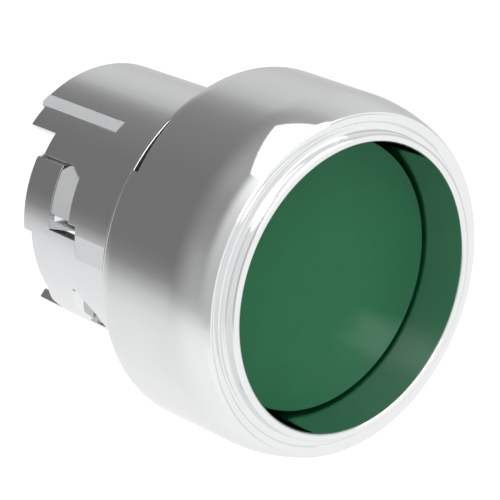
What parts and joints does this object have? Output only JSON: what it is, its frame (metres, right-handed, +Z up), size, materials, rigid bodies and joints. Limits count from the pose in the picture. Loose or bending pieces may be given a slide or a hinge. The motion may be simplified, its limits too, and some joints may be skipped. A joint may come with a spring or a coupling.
{
  "type": "push button actuator",
  "caption": "Panel push button head with a chrome shrouded bezel, a recessed green cap and a slim barrel with rear bayonet slots.",
  "frame": {"origin": "on the button's axis, at the plane where the gasket meets the front of the panel", "axes": "+Y along the axis from the button's face to the barrel's rear, +Z up, button faces -Y"},
  "size_m": [0.0294, 0.0317, 0.0294],
  "materials": {
    "bezel_chrome": "polished",
    "barrel_chrome": "satin",
    "cap_plastic": "satin",
    "grey_plastic": "matte",
    "black_plastic": "matte",
    "spring_steel": "drawn wire",
    "seal_rubber": "matte"
  },
  "bodies": {
    "housing": {"bezel_shroud": "bezel_chrome", "barrel_body": "barrel_chrome", "guide_sleeve": "grey_plastic", "diaphragm_seal": "seal_rubber", "return_spring": "spring_steel", "spring_washer": "spring_steel", "spring_retainer": "black_plastic", "stop_buffer": "seal_rubber", "bezel_o_ring": "seal_rubber", "panel_gasket": "seal_rubber"},
    "plunger": {"button_cap": "cap_plastic", "cap_carrier": "black_plastic", "plunger_stem": "grey_plastic", "actuating_foot": "black_plastic", "foot_clip": "spring_steel"}
  },
  "joints": [
    {"name": "press", "type": "slide", "parent": "housing", "child": "plunger", "axis": [0, 1, 0], "range_m": [0, 0.0043], "stiffness_N_per_m": 500, "springref_m": -0.006, "deforming": ["return_spring", "diaphragm_seal"]}
  ]
}
